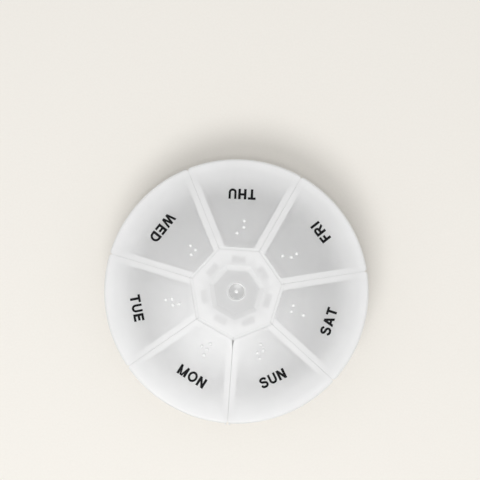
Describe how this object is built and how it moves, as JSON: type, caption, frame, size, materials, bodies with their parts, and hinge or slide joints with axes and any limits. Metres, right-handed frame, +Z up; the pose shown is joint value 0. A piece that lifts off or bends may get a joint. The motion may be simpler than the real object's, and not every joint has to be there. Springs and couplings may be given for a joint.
{
  "type": "weekly pill box",
  "caption": "Round frosted tray of wedge compartments around a snapped-in hub, each under its own day lid that folds up on a living hinge.",
  "frame": {"origin": "centre of the flat underside, on the axis of the round box", "axes": "+Z up out of the lids; the divider between the sun and mon compartments runs along -Y, and the thu compartment is centred on +Y"},
  "size_m": [0.092, 0.0929, 0.0214],
  "materials": {
    "frosted_tray": "frosted translucent polypropylene, fine matt texture",
    "frosted_lid": "frosted translucent polypropylene, semi-matt",
    "hinge_web": "thin bent polypropylene web, slightly whitened",
    "day_print": "black pad-printed ink"
  },
  "bodies": {
    "tray_and_hub": {"base_tray": "frosted_tray", "lid_hub": "frosted_lid", "hinge_sun": "hinge_web", "hinge_sat": "hinge_web", "hinge_fri": "hinge_web", "hinge_thu": "hinge_web", "hinge_wed": "hinge_web", "hinge_tue": "hinge_web", "hinge_mon": "hinge_web"},
    "flap_sun": {"lid_sun": "frosted_lid"},
    "flap_sat": {"lid_sat": "frosted_lid"},
    "flap_fri": {"lid_fri": "frosted_lid"},
    "flap_thu": {"lid_thu": "frosted_lid"},
    "flap_wed": {"lid_wed": "frosted_lid"},
    "flap_tue": {"lid_tue": "frosted_lid"},
    "flap_mon": {"lid_mon": "frosted_lid"}
  },
  "joints": [
    {"name": "sun_lid_hinge", "type": "hinge", "parent": "tray_and_hub", "child": "flap_sun", "pos_m": [0.00644, -0.01338, 0.02073], "axis": [-0.901, -0.4339, 0], "range_deg": [0, 42], "deforming": ["hinge_sun"]},
    {"name": "sat_lid_hinge", "type": "hinge", "parent": "tray_and_hub", "child": "flap_sat", "pos_m": [0.01448, -0.0033, 0.02073], "axis": [0.2225, 0.9749, 0], "range_deg": [-85, 0], "deforming": ["hinge_sat"]},
    {"name": "fri_lid_hinge", "type": "hinge", "parent": "tray_and_hub", "child": "flap_fri", "pos_m": [0.01161, 0.00926, 0.02073], "axis": [0.6235, -0.7818, 0], "range_deg": [0, 85], "deforming": ["hinge_fri"]},
    {"name": "thu_lid_hinge", "type": "hinge", "parent": "tray_and_hub", "child": "flap_thu", "pos_m": [0, 0.01485, 0.02073], "axis": [-1, 0, 0], "range_deg": [-85, 0], "deforming": ["hinge_thu"]},
    {"name": "wed_lid_hinge", "type": "hinge", "parent": "tray_and_hub", "child": "flap_wed", "pos_m": [-0.01161, 0.00926, 0.02073], "axis": [0.6235, 0.7818, 0], "range_deg": [0, 85], "deforming": ["hinge_wed"]},
    {"name": "tue_lid_hinge", "type": "hinge", "parent": "tray_and_hub", "child": "flap_tue", "pos_m": [-0.01448, -0.0033, 0.02073], "axis": [0.2225, -0.9749, 0], "range_deg": [-85, 0], "deforming": ["hinge_tue"]},
    {"name": "mon_lid_hinge", "type": "hinge", "parent": "tray_and_hub", "child": "flap_mon", "pos_m": [-0.00644, -0.01338, 0.02073], "axis": [-0.901, 0.4339, 0], "range_deg": [0, 85], "deforming": ["hinge_mon"]}
  ]
}
